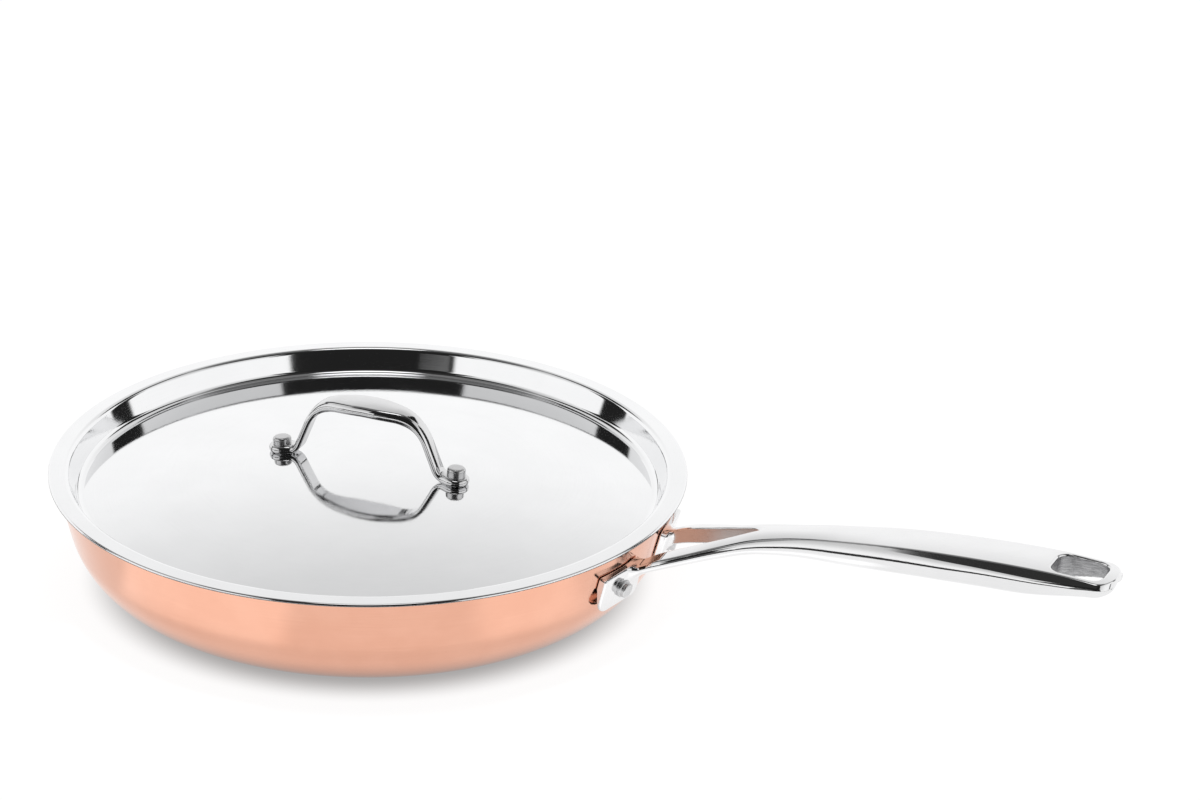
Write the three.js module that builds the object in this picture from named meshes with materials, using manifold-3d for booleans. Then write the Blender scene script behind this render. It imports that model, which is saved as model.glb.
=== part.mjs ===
// Copper-clad frying pan with a polished steel lid.
// Millimetres, +Z up. The origin is the centre of the underside and the pan handle runs along +X.
import * as THREE from 'three';
import { mergeVertices } from 'three/addons/utils/BufferGeometryUtils.js';
import Module from 'manifold-3d';

const wasm = await Module();
wasm.setup();

// Clad pan body
const TURNS = 56;
const RIM_Z = 52.6;
const RIM_R = 142.2;
const WALL_LEAN = THREE.MathUtils.degToRad(14.4);
const CORNER_R = 38.4;
const FLAT_R = 98.8;
const COPPER = 0.8;
const ALUMINIUM = 1.0;
const STEEL = 0.5;
const BOND = 0.03;
const WALL = COPPER + ALUMINIUM + STEEL + 2 * BOND;

// Base disc
const DISC_R = 107.4;
const DISC_THICK = 0.8;

// Lid
const LID_R = 145.3;
const LID_SHEET = 0.9;
const LID_TURN = THREE.MathUtils.degToRad(1.3);
const LID_TOP_Z = RIM_Z + 1.0;
const LID_LIP_DROP = 1.3;
const LID_SEAT_R = 137.2;
const LID_WALL_TOP_R = 135.9;
const LID_WALL_FOOT_R = 133.0;
const LID_GROOVE_R = 130.6;
const LID_DOME_EDGE_R = 129.0;
const LID_GROOVE_DEPTH = 10.4;
const LID_DOME_RISE = 11.2;
const DOME_RINGS = [0, 34, 68, 100, LID_DOME_EDGE_R];

// Lid handle: a strap bent in the X-Z plane
const LUG_X = 43.3;
const LUG_R = 6.2;
const LUG_THICK = 3.4;
const LUG_GAP = 0.1;
const LUG_SLOPE = (2 * LID_DOME_RISE * LUG_X) / LID_DOME_EDGE_R ** 2;
const GRIP_HEIGHT = 27.0;
const GRIP_HALF = 25.6;
const GRIP_WIDE = 16.6;
const GRIP_THICK = 5.5;
const GRIP_ARCH = 2.6;
const GRIP_BEND = 11;
const LEG_WIDE = 8.8;
const LEG_THICK = 3.1;
const KNEE_X = LUG_X - LUG_R - 1.4;
const KNEE_BEND_IN = 4.0;
const KNEE_BEND_OUT = 3.0;

// Lid rivets
const LID_RIVET_R = 4.25;
const LID_RIVET_HIGH_LEFT = 3.6;
const LID_RIVET_HIGH_RIGHT = 4.4;
const LID_SHANK_R = 2.4;
const LID_TAIL_R = 4.6;
const LID_TAIL_HIGH = 1.4;

// Clearances
const HOLE_GAP = 0.15;
const HEAD_GAP = 0.02;
const FOOT_GAP = 0.3;
const LINER_GAP = 0.6;
const TAIL_GAP = 0.3;

// Length of a cutting tool that passes right through
const TOOL_LONG = 90;

// Pan handle
const CROTCH_X = 191.4;
const TIP_X = 357.0;
const SLOT_X0 = 328.4;
const SLOT_X1 = 351.6;
const SLOT_HALF = 9.3;
const SLOT_CORNER = 5.6;
const FORK_SLOPE = 0.28;
const FORK_BLUNT = 3;

// Foot plates and their rivets
const FOOT_ANGLE = THREE.MathUtils.degToRad(11);
const FOOT_OUT = 15.8;
const FOOT_IN = 14.2;
const FOOT_TOP = 9.6;
const FOOT_LOW = 9.0;
const FOOT_THICK = 3.4;
const FOOT_CORNER = 4.5;
const FOOT_ROUND = 7;
const FOOT_MID_Z = 33.4;
const COLLAR_R = 4.2;
const COLLAR_HIGH = 1.4;
const BOSS_R = 3.5;
const BOSS_HIGH = 2.1;
const SHANK_R = 3.0;
const INNER_HEAD_R = 6.0;
const INNER_HEAD_HIGH = 1.9;

const STEEL_LOOK = { color: 0xd4d5d6, roughness: 0.12, metalness: 1 };
const WORN_STEEL = { color: 0xb9babc, roughness: 0.3, metalness: 1 };

// --- shared helpers -------------------------------------------------------

const lerp = THREE.MathUtils.lerp;

function mesh(name, geometry, look) {
  const made = new THREE.Mesh(geometry, new THREE.MeshStandardMaterial(look));
  made.name = name;
  return made;
}

// Reads a table of [x, value] pairs with a smooth curve through its points.
function curveTable(pairs) {
  const points = pairs.map(([x, y]) => new THREE.Vector2(x, y));
  const spans = points.length - 1;
  const slopes = points.map((p, i) => {
    const a = points[Math.max(i - 1, 0)];
    const b = points[Math.min(i + 1, spans)];
    return (b.y - a.y) / (b.x - a.x);
  });
  return (x) => {
    const i = Math.min(Math.max(points.findIndex((p) => p.x >= x) - 1, 0), spans - 1);
    const a = points[i];
    const b = points[i + 1];
    const h = b.x - a.x;
    const t = THREE.MathUtils.clamp((x - a.x) / h, 0, 1);
    const t2 = t * t;
    const t3 = t2 * t;
    return (2 * t3 - 3 * t2 + 1) * a.y + (t3 - 2 * t2 + t) * h * slopes[i]
      + (3 * t2 - 2 * t3) * b.y + (t3 - t2) * h * slopes[i + 1];
  };
}

// Turns a profile of [radius, height] pairs about Z. Profiles run so that their faces point out.
function turned(profile, turns = TURNS) {
  const points = profile.map(([r, z]) => new THREE.Vector2(r, z));
  return new THREE.LatheGeometry(points, turns).rotateX(Math.PI / 2);
}

function arc(cr, cz, radius, from, to, steps) {
  return Array.from({ length: steps + 1 }, (_, i) => {
    const a = lerp(from, to, i / steps);
    return [cr + radius * Math.cos(a), cz + radius * Math.sin(a)];
  });
}

// Joins rings of points, equal in number, into one closed skin with flat ends.
function lofted(rings) {
  const n = rings[0].length;
  const positions = rings.flat().flatMap((p) => [p.x, p.y, p.z]);
  const index = [];
  for (let k = 0; k + 1 < rings.length; k += 1) {
    for (let i = 0; i < n; i += 1) {
      const j = (i + 1) % n;
      index.push(k * n + i, (k + 1) * n + i, k * n + j);
      index.push(k * n + j, (k + 1) * n + i, (k + 1) * n + j);
    }
  }
  const last = (rings.length - 1) * n;
  for (let i = 1; i + 1 < n; i += 1) {
    index.push(0, i, i + 1);
    index.push(last, last + i + 1, last + i);
  }
  const geometry = new THREE.BufferGeometry();
  geometry.setAttribute('position', new THREE.Float32BufferAttribute(positions, 3));
  geometry.setIndex(index);
  return geometry;
}

function solid(geometry) {
  const bare = new THREE.BufferGeometry();
  bare.setAttribute('position', geometry.getAttribute('position'));
  if (geometry.index) bare.setIndex(geometry.index);
  const merged = mergeVertices(bare, 1e-4);
  const faces = [];
  const old = merged.index.array;
  for (let i = 0; i < old.length; i += 3) {
    const [a, b, c] = [old[i], old[i + 1], old[i + 2]];
    if (a !== b && b !== c && c !== a) faces.push(a, b, c);
  }
  return new wasm.Manifold(new wasm.Mesh({
    numProp: 3,
    vertProperties: merged.attributes.position.array,
    triVerts: new Uint32Array(faces),
  }));
}

function geometryOf(manifold) {
  const data = manifold.getMesh();
  const geometry = new THREE.BufferGeometry();
  geometry.setAttribute('position', new THREE.BufferAttribute(data.vertProperties, 3));
  geometry.setIndex(new THREE.BufferAttribute(data.triVerts, 1));
  return geometry;
}

function cut(body, tools) {
  return geometryOf(tools.reduce((left, tool) => left.subtract(solid(tool)), solid(body)));
}

// A rounded-rectangle prism standing on the X-Y plane.
function roundedPrism(x0, x1, half, corner, height) {
  const shape = new THREE.Shape();
  shape.moveTo(x0 + corner, -half);
  shape.lineTo(x1 - corner, -half);
  shape.absarc(x1 - corner, -half + corner, corner, -Math.PI / 2, 0);
  shape.lineTo(x1, half - corner);
  shape.absarc(x1 - corner, half - corner, corner, 0, Math.PI / 2);
  shape.lineTo(x0 + corner, half);
  shape.absarc(x0 + corner, half - corner, corner, Math.PI / 2, Math.PI);
  shape.lineTo(x0, -half + corner);
  shape.absarc(x0 + corner, -half + corner, corner, Math.PI, 1.5 * Math.PI);
  return new THREE.ExtrudeGeometry(shape, { depth: height, bevelEnabled: false, curveSegments: 5 });
}

// --- pan body -------------------------------------------------------------

// Height of the clad sheet's outer face follows one curve; inner faces are offset from it.
function sheetLine(offset) {
  const bend = CORNER_R - offset;
  const wallAngle = -WALL_LEAN;
  const flatAngle = -Math.PI / 2;
  const low = DISC_THICK + offset;
  const start = -Math.asin(Math.min(1, (CORNER_R - low) / bend));
  const inner = Math.max(start, flatAngle);
  const line = [[0, low], ...arc(FLAT_R, CORNER_R, bend, inner, wallAngle, 6)];
  const [endR, endZ] = line[line.length - 1];
  line.push([endR + (RIM_Z - endZ) * Math.tan(WALL_LEAN), RIM_Z]);
  return line;
}

function sheetLayer(outer, inner) {
  return turned([...sheetLine(outer), ...sheetLine(inner).reverse()]);
}

// Distance of the pan's outer wall from the axis at a height on its straight part.
function wallRadius(z) {
  return RIM_R - (RIM_Z - z) * Math.tan(WALL_LEAN);
}

function buildCopperShell() {
  return cut(sheetLayer(0, COPPER), wallHoles());
}

function buildAluminiumCore() {
  return cut(sheetLayer(COPPER + BOND, COPPER + BOND + ALUMINIUM), wallHoles());
}

function buildSteelLiner() {
  return cut(sheetLayer(WALL - STEEL, WALL), wallHoles());
}

function buildBaseDisc() {
  return turned([[0, 0], [DISC_R - 0.4, 0], [DISC_R, 0.3], [DISC_R, DISC_THICK], [0, DISC_THICK]]);
}

// --- frames of the two feet ------------------------------------------------

// Origin on the outer wall, local Z out of the wall, local Y up the wall.
function footFrame(side) {
  const angle = side * FOOT_ANGLE;
  const out = new THREE.Vector3(Math.cos(angle), Math.sin(angle), 0);
  const normal = out.clone().multiplyScalar(Math.cos(WALL_LEAN));
  normal.z = -Math.sin(WALL_LEAN);
  const up = out.clone().multiplyScalar(Math.sin(WALL_LEAN));
  up.z = Math.cos(WALL_LEAN);
  const across = new THREE.Vector3().crossVectors(up, normal);
  const at = out.clone().multiplyScalar(wallRadius(FOOT_MID_Z));
  at.z = FOOT_MID_Z;
  return new THREE.Matrix4().makeBasis(across, up, normal).setPosition(at);
}

// A rod along a foot's rivet, to drill the foot and the wall.
function footDrill(side, radius, from, to) {
  const rod = turned([[0, from], [radius, from], [radius, to], [0, to]], 24);
  return rod.applyMatrix4(footFrame(side));
}

function wallHoles() {
  return [-1, 1].map((side) => footDrill(side, SHANK_R + HOLE_GAP, -12, 12));
}

// --- pan handle -------------------------------------------------------------

const handleTop = curveTable([
  [136, 40.8], [150, 47.6], [165, 52.8], [178, 57.0], [191, 61.0], [208, 64.5], [227, 67.4],
  [262, 71.4], [297, 73.6], [327, 74.2], [345, 73.4], [360, 72.0],
]);
const handleHalf = curveTable([
  [136, 24.4], [142, 22.8], [148, 22.2], [154, 21.2], [165, 17.6], [178, 13.2], [191, 10.2], [205, 8.7],
  [218, 8.5], [240, 9.5], [262, 10.6], [297, 11.5], [327, 11.9], [360, 11.9],
]);
const handleDeep = curveTable([
  [136, 7.4], [150, 7.4], [170, 7.6], [191, 8.2], [210, 9.9], [240, 12.9], [280, 14.4],
  [312, 14.2], [328, 12.2], [345, 8.4], [360, 6.6],
]);
const handleCrown = curveTable([
  [136, 2.2], [178, 2.2], [200, 1.7], [225, 1.1], [260, 0.6], [360, 0.5],
]);
const handleBoxy = curveTable([
  [136, 2.1], [191, 2.1], [240, 2.4], [300, 2.5], [325, 3.0], [360, 3.6],
]);

const handleBevel = curveTable([
  [136, 0.4], [205, 0.6], [232, 1.1], [255, 2.0], [278, 3.3], [300, 4.2],
  [324, 5.0], [340, 4.4], [350, 2.6], [360, 1.4],
]);
const handleRoll = curveTable([
  [136, 3.2], [180, 4.2], [205, 6.4], [240, 8.4], [278, 7.0], [300, 5.2],
  [327, 3.6], [345, 3.0], [360, 2.6],
]);

// One section: a crowned top with crisp edges, a 45 degree bevel that rolls over, and a rounded belly.
function handleRing(x, squeeze) {
  const half = handleHalf(x) * squeeze;
  const bevel = handleBevel(x) * squeeze * Math.SQRT1_2;
  const roll = handleRoll(x) * squeeze;
  const crown = handleCrown(x);
  const top = handleTop(x);
  const flank = [[half, 0], [half + bevel, bevel]];
  const centre = [half + bevel - roll * Math.SQRT1_2, bevel + roll * Math.SQRT1_2];
  for (const a of [Math.PI / 8, 0]) {
    flank.push([centre[0] + roll * Math.cos(a), centre[1] - roll * Math.sin(a)]);
  }
  const [wide, drop] = flank.pop();
  const deep = handleDeep(x) - drop;
  const power = 2 / handleBoxy(x);
  const ring = [];
  for (const f of [-0.5, 0, 0.5]) {
    ring.push(new THREE.Vector3(x, f * half, top - crown * f * f));
  }
  for (const [y, down] of flank) ring.push(new THREE.Vector3(x, y, top - crown - down));
  const steps = 8;
  for (let i = 0; i <= steps; i += 1) {
    const a = (i / steps) * Math.PI;
    const c = Math.cos(a);
    const y = Math.sign(c) * Math.abs(c) ** power * wide;
    ring.push(new THREE.Vector3(x, y, top - crown - drop - deep * Math.sin(a) ** power));
  }
  for (const [y, down] of flank.reverse()) ring.push(new THREE.Vector3(x, -y, top - crown - down));
  return ring;
}

function handleBar() {
  const xs = [136, 143, 150, 158, 168, 179, 191, 203, 216, 232, 250, 270, 290, 310, 325, 338, 347];
  const rings = xs.map((x) => handleRing(x, 1));
  for (const [back, squeeze] of [[5, 0.97], [2.5, 0.88], [1, 0.76], [0, 0.52]]) {
    rings.push(handleRing(TIP_X - back, squeeze));
  }
  return lofted(rings);
}

// The wedge between the two prongs, with a blunt end, open towards the pan.
function forkNotch() {
  const shape = new THREE.Shape();
  const reachAt = (y) => CROTCH_X - (Math.hypot(y, FORK_BLUNT) - FORK_BLUNT) / FORK_SLOPE;
  const steps = [0, 1.5, 3, 5, 8, 13, 24];
  shape.moveTo(CROTCH_X, 0);
  for (const y of steps.slice(1)) shape.lineTo(reachAt(y), y);
  for (const y of steps.slice(1).reverse()) shape.lineTo(reachAt(y), -y);
  return new THREE.ExtrudeGeometry(shape, { depth: TOOL_LONG, bevelEnabled: false });
}

// One foot: a plate with rounded lower corners, laid against the wall.
function footPlate(side) {
  const sunk = 3;
  const shape = new THREE.Shape();
  shape.moveTo(-FOOT_IN, FOOT_TOP);
  shape.lineTo(-FOOT_IN, -FOOT_LOW + FOOT_CORNER);
  shape.absarc(-FOOT_IN + FOOT_CORNER, -FOOT_LOW + FOOT_CORNER, FOOT_CORNER, Math.PI, 1.5 * Math.PI);
  shape.lineTo(FOOT_OUT - FOOT_ROUND, -FOOT_LOW);
  shape.absarc(FOOT_OUT - FOOT_ROUND, -FOOT_LOW + FOOT_ROUND, FOOT_ROUND, 1.5 * Math.PI, 2 * Math.PI);
  shape.lineTo(FOOT_OUT, FOOT_TOP);
  const options = { depth: FOOT_THICK + sunk, bevelEnabled: false, curveSegments: 5 };
  const plate = new THREE.ExtrudeGeometry(shape, options).translate(0, 0, -sunk);
  if (side < 0) plate.rotateY(Math.PI).translate(0, 0, FOOT_THICK - sunk);
  return plate.applyMatrix4(footFrame(side));
}

// The pan's outside as one solid, grown a little, to shape the feet's inner faces.
function panBlank(grow) {
  const top = RIM_Z + 40;
  const spread = Math.tan(WALL_LEAN);
  return turned([
    [0, 10], [RIM_R + grow - (RIM_Z - 10) * spread, 10], [RIM_R + grow + 40 * spread, top], [0, top],
  ], 4 * TURNS);
}

function hangingSlot() {
  return roundedPrism(SLOT_X0, SLOT_X1, SLOT_HALF, SLOT_CORNER, TOOL_LONG);
}

function buildPanHandle() {
  let body = solid(handleBar()).subtract(solid(forkNotch()));
  for (const side of [-1, 1]) body = body.add(solid(footPlate(side)));
  for (const tool of [hangingSlot(), panBlank(FOOT_GAP), ...wallHoles()]) {
    body = body.subtract(solid(tool));
  }
  return geometryOf(body);
}

function buildHandleRivet(side) {
  const face = FOOT_THICK;
  const inside = -WALL - LINER_GAP;
  const profile = [
    [0, inside - INNER_HEAD_HIGH],
    [INNER_HEAD_R * 0.5, inside - INNER_HEAD_HIGH * 0.82],
    [INNER_HEAD_R * 0.86, inside - INNER_HEAD_HIGH * 0.42],
    [INNER_HEAD_R, inside],
    [SHANK_R, inside],
    [SHANK_R, face + HEAD_GAP],
    [COLLAR_R, face + HEAD_GAP],
    [COLLAR_R, face + COLLAR_HIGH - 0.4],
    [COLLAR_R - 0.4, face + COLLAR_HIGH],
    [BOSS_R, face + COLLAR_HIGH],
    [BOSS_R, face + COLLAR_HIGH + BOSS_HIGH - 0.7],
    [BOSS_R - 0.7, face + COLLAR_HIGH + BOSS_HIGH],
    [0, face + COLLAR_HIGH + BOSS_HIGH],
  ];
  return turned(profile, 24).applyMatrix4(footFrame(side));
}

// --- lid ---------------------------------------------------------------------

// Height of the dome's upper face at a distance from the axis, from the lid's top plane.
function domeTop(r) {
  return -LID_GROOVE_DEPTH + LID_DOME_RISE * (1 - (r / LID_DOME_EDGE_R) ** 2);
}

function lidTopLine() {
  const dome = DOME_RINGS.map((r) => [r, domeTop(r)]);
  return [
    ...dome,
    [LID_GROOVE_R, -LID_GROOVE_DEPTH + 0.15],
    [LID_WALL_FOOT_R - 0.7, -LID_GROOVE_DEPTH + 1.0],
    [LID_WALL_FOOT_R, -LID_GROOVE_DEPTH + 2.4],
    [LID_WALL_TOP_R - 0.3, -1.6],
    [LID_WALL_TOP_R + 0.1, -0.2],
    [LID_SEAT_R - 0.2, 0.4],
    [LID_SEAT_R + 0.8, 0.45],
    [LID_R - 1.2, 0],
    [LID_R - 0.3, -0.35],
    [LID_R, -LID_LIP_DROP],
  ];
}

function lidUnderLine() {
  const t = LID_SHEET;
  const dome = DOME_RINGS.map((r) => [r, domeTop(r) - t]);
  return [
    ...dome,
    [LID_GROOVE_R + 0.2, -LID_GROOVE_DEPTH - t + 0.15],
    [LID_WALL_FOOT_R + 0.1, -LID_GROOVE_DEPTH + 0.4],
    [LID_WALL_FOOT_R + t, -LID_GROOVE_DEPTH + 2.1],
    [LID_WALL_TOP_R - 0.3 + t, -1.7],
    [LID_WALL_TOP_R + 0.6 + t, -t],
    [LID_R - 1.5, -t - 0.05],
    [LID_R - 0.9, -LID_LIP_DROP],
  ];
}

function buildLidShell() {
  const profile = [...lidTopLine(), ...lidUnderLine().reverse()];
  const lid = turned([...profile].reverse().map(([r, z]) => [r, z + LID_TOP_Z]));
  return cut(lid, [-1, 1].map((side) => lidDrill(side)));
}

// Origin on the dome under a lug's rivet, local Z square to the dome.
function lugFrame(side) {
  const tilt = new THREE.Matrix4().makeRotationY(side * Math.atan(LUG_SLOPE));
  return tilt.setPosition(side * LUG_X, 0, LID_TOP_Z + domeTop(LUG_X));
}

function lidDrill(side) {
  const radius = LID_SHANK_R + HOLE_GAP;
  const rod = turned([[0, -20], [radius, -20], [radius, 12], [0, 12]], 24);
  return rod.applyMatrix4(lugFrame(side));
}

// --- lid handle ----------------------------------------------------------------

// Height of a lug's underside, which follows the dome's slope.
function lugSeatZ(x = LUG_X) {
  return LID_TOP_Z + domeTop(LUG_X) + LUG_GAP - LUG_SLOPE * (x - LUG_X);
}

// Centre line of the strap from the middle of the grip to the end of the right lug.
function strapPath() {
  const seat = (x) => lugSeatZ(x) + LUG_THICK / 2;
  const grip = lugSeatZ() + GRIP_HEIGHT + GRIP_THICK / 2;
  const path = new THREE.CurvePath();
  const at = (x, z) => new THREE.Vector3(x, 0, z);
  const line = (a, b) => path.add(new THREE.LineCurve3(a, b));
  const bend = (a, b, c) => path.add(new THREE.QuadraticBezierCurve3(a, b, c));
  const corner = at(GRIP_HALF, grip - GRIP_ARCH);
  const knee = at(KNEE_X, seat(KNEE_X));
  const along = new THREE.Vector3().subVectors(knee, corner).normalize();
  const bendIn = at(GRIP_HALF - GRIP_BEND, grip - 0.4 * GRIP_ARCH);
  const bendOut = corner.clone().addScaledVector(along, GRIP_BEND);
  const kneeIn = knee.clone().addScaledVector(along, -KNEE_BEND_IN);
  const kneeOut = at(KNEE_X + KNEE_BEND_OUT, seat(KNEE_X + KNEE_BEND_OUT));
  bend(at(0, grip), at(6, grip), bendIn);
  bend(bendIn, corner, bendOut);
  line(bendOut, kneeIn);
  bend(kneeIn, knee, kneeOut);
  line(kneeOut, at(LUG_X + LUG_R, seat(LUG_X + LUG_R)));
  return path;
}

// Half width and thickness of the strap at a point of its path.
function strapSize(x) {
  if (x > LUG_X - LUG_R * 0.75) {
    const d = (x - LUG_X) / LUG_R;
    return [Math.max(LUG_R * Math.sqrt(Math.max(1 - d * d, 0)), 1.2), LUG_THICK];
  }
  const wide = 1 - THREE.MathUtils.smoothstep(x, 3, GRIP_HALF + 2);
  const heavy = 1 - THREE.MathUtils.smoothstep(x, GRIP_HALF - 7, GRIP_HALF + 4);
  return [
    lerp(LEG_WIDE, GRIP_WIDE, wide) / 2,
    lerp(LEG_THICK, GRIP_THICK, heavy),
  ];
}

// One section of the strap: flat below, crowned above, with eased edges.
function strapRing(point, tangent) {
  const [half, thick] = strapSize(Math.abs(point.x));
  const up = new THREE.Vector3(-tangent.z, 0, tangent.x);
  const crown = thick * 0.17;
  const edge = Math.min(0.6, half * 0.3);
  const outline = [
    [-half, -thick / 2 + edge], [-half, thick / 2 - crown - edge], [-half + edge, thick / 2 - crown],
    [-half * 0.5, thick / 2 - crown * 0.25], [0, thick / 2], [half * 0.5, thick / 2 - crown * 0.25],
    [half - edge, thick / 2 - crown], [half, thick / 2 - crown - edge], [half, -thick / 2 + edge],
    [half - edge, -thick / 2], [0, -thick / 2], [-half + edge, -thick / 2],
  ];
  return outline.map(([y, n]) => new THREE.Vector3(point.x + up.x * n, y, point.z + up.z * n));
}

function buildLidHandle() {
  const path = strapPath();
  const stops = [
    ...[0, 0.1, 0.19, 0.26, 0.31, 0.35, 0.39, 0.43, 0.48, 0.56, 0.64, 0.69, 0.73, 0.77],
    ...[0.8, 0.82, 0.86, 0.9, 0.94, 0.97, 0.99, 1],
  ];
  const right = stops.map((u) => strapRing(path.getPointAt(u), path.getTangentAt(u)));
  const left = right.slice(1).reverse().map((ring) => ring.map((p) => new THREE.Vector3(-p.x, p.y, p.z)));
  return cut(lofted([...left, ...right]), [-1, 1].map((side) => lidDrill(side)));
}

function buildLidRivet(side) {
  const high = side < 0 ? LID_RIVET_HIGH_LEFT : LID_RIVET_HIGH_RIGHT;
  const low = -LID_SHEET - TAIL_GAP;
  const seat = LUG_GAP + LUG_THICK;
  const profile = [
    [0, low - LID_TAIL_HIGH], [2.6, low - 1.2], [4.2, low - 0.6], [LID_TAIL_R, low],
    [LID_SHANK_R, low], [LID_SHANK_R, seat + HEAD_GAP], [LID_RIVET_R, seat + HEAD_GAP],
    [LID_RIVET_R, seat + high - 0.9], [LID_RIVET_R - 0.9, seat + high],
    [0, seat + high],
  ];
  return turned(profile, 24).applyMatrix4(lugFrame(side));
}

// --- assembly --------------------------------------------------------------------

const root = new THREE.Group();
const lid = new THREE.Group();
lid.rotation.z = LID_TURN;
root.add(
  lid,
  mesh('copper_shell', buildCopperShell(), { color: 0xe2ab92, roughness: 0.18, metalness: 1 }),
  mesh('aluminium_core', buildAluminiumCore(), { color: 0xa0a8aa, roughness: 0.45, metalness: 1 }),
  mesh('steel_liner', buildSteelLiner(), { color: 0xc4c6c8, roughness: 0.3, metalness: 1 }),
  mesh('base_disc', buildBaseDisc(), { color: 0x6c6e72, roughness: 0.4, metalness: 1 }),
  mesh('pan_handle', buildPanHandle(), STEEL_LOOK),
  mesh('handle_rivet_near', buildHandleRivet(-1), WORN_STEEL),
  mesh('handle_rivet_far', buildHandleRivet(1), WORN_STEEL),
);
lid.add(
  mesh('lid_shell', buildLidShell(), STEEL_LOOK),
  mesh('lid_handle', buildLidHandle(), STEEL_LOOK),
  mesh('lid_rivet_left', buildLidRivet(-1), WORN_STEEL),
  mesh('lid_rivet_right', buildLidRivet(1), WORN_STEEL),
);

export default root;
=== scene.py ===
"""Looks of the copper-clad frying pan and its polished steel lid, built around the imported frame.

Shapes are worked out in millimetres, in the frame's own axes, and turned into metres when a mesh is made.
"""

import math

import bpy
import numpy as np
from mathutils import Matrix, Vector


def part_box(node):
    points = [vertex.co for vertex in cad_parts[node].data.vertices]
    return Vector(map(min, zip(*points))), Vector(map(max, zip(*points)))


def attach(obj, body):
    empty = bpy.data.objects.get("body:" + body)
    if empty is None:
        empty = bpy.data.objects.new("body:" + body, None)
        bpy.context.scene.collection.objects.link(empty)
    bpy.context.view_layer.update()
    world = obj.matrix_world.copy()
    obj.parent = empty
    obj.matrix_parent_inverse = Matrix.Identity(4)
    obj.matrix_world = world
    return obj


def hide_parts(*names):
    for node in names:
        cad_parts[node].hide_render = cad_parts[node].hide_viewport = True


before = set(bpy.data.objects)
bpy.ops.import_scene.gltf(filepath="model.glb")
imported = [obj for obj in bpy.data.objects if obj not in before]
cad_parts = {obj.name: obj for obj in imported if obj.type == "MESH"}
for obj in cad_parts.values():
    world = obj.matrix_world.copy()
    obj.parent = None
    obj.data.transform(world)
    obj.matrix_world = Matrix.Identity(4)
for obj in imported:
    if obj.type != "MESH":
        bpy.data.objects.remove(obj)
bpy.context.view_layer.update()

MM = 0.001


def span(node):
    """Lowest and highest corner of a CAD node, in millimetres."""
    low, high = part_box(node)
    return np.array(low) / MM, np.array(high) / MM


# --- sizes, in millimetres ----------------------------------------------------------------------

# Read from the frame
RIM_R = span("copper_shell")[1][0]
RIM_Z = span("copper_shell")[1][2]
DISC_R = span("base_disc")[1][0]
DISC_THICK = span("base_disc")[1][2]
TIP_X = span("pan_handle")[1][0]
HANDLE_LOW = span("pan_handle")[0]
HANDLE_HIGH = span("pan_handle")[1]
LID_TURN = math.radians(1.3)
LID_R = span("lid_shell")[1][0] / math.cos(LID_TURN)
LID_TOP_Z = RIM_Z + 1.0

# Clad pan body
WALL_LEAN = math.radians(14.4)
CORNER_R = 38.4
FLAT_R = 98.8
COPPER = 0.8
ALUMINIUM = 1.0
STEEL = 0.5
BOND = 0.03
WALL = COPPER + ALUMINIUM + STEEL + 2 * BOND

# Lid
LID_SHEET = 0.9
LID_DOME_EDGE_R = 129.0
LID_GROOVE_DEPTH = 10.4
LID_DOME_RISE = 11.2
LID_GROOVE_WIDE = 0.4
LID_GROOVE_ROUND = 1.2
# Radius, height from the lid's top plane and rounding of the wall's two bends
LID_WALL_FOOT = (132.1, -10.35, 3.4)
LID_WALL_TOP = (136.4, 0.45, 2.6)
LID_EDGE_ROUND = 1.1
LID_EDGE_DROP = 0.85
DOME_RINGS = 40
LIP_STEPS = 6

# Lid handle and rivets
LUG_X = 43.3
LUG_R = 6.2
LUG_THICK = 3.4
LUG_GAP = 0.1
LUG_ROUND = 1.6
LUG_FILLET = 2.0
LUG_SLOPE = 2 * LID_DOME_RISE * LUG_X / LID_DOME_EDGE_R**2
GRIP_HEIGHT = 27.0
GRIP_HALF = 25.6
GRIP_WIDE = 16.6
GRIP_THICK = 5.5
GRIP_ARCH = 2.6
GRIP_BEND = 11.0
LEG_WIDE = 8.8
LEG_THICK = 3.1
STRAP_CROWN = 0.17
STRAP_ROUND = 0.42
KNEE_X = LUG_X - LUG_R - 1.4
KNEE_BEND_IN = 4.0
KNEE_BEND_OUT = 3.0
LID_RIVET_R = 4.25
LID_RIVET_HIGH = {"left": 3.6, "right": 4.4}
LID_SHANK_R = 2.4
LID_TAIL_R = 4.6
LID_TAIL_HIGH = 1.4
LID_TAIL_GAP = 0.3

# Pan handle
HANDLE_START_X = 132.0
CROTCH_X = 191.4
SLOT_X0 = 328.4
SLOT_X1 = 351.6
SLOT_HALF = 9.3
SLOT_CORNER = 5.6
FORK_SLOPE = 0.28
FORK_BLUNT = 3.0
TIP_ROUND = 7.5
EDGE_ROUND = 0.4
ROLLED_EDGE = 1.1
BEVEL_RISE = math.radians(45)

# Feet and their rivets
FOOT_ANGLE = math.radians(11.0)
FOOT_OUT = 15.8
FOOT_IN = 14.2
FOOT_TOP = 9.6
FOOT_LOW = 9.0
FOOT_THICK = 3.4
FOOT_CORNER = 4.5
FOOT_ROUND = 7.0
FOOT_TOP_CORNER = 1.5
FOOT_EDGE = 0.9
FOOT_GAP = 0.3
FOOT_MID_Z = 33.4
FOOT_FILLET = 4.0
COLLAR_R = 4.2
COLLAR_HIGH = 1.4
BOSS_R = 3.5
BOSS_HIGH = 2.1
SHANK_R = 3.0
INNER_HEAD_R = 6.0
INNER_HEAD_HIGH = 1.9
LINER_GAP = 0.6
HEAD_GAP = 0.02

# Fineness of the meshes
TURNS = 224
RIVET_TURNS = 72
CORNER_STEPS = 40
HANDLE_STEP = 0.42
STRAP_STEP = 0.32

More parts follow.
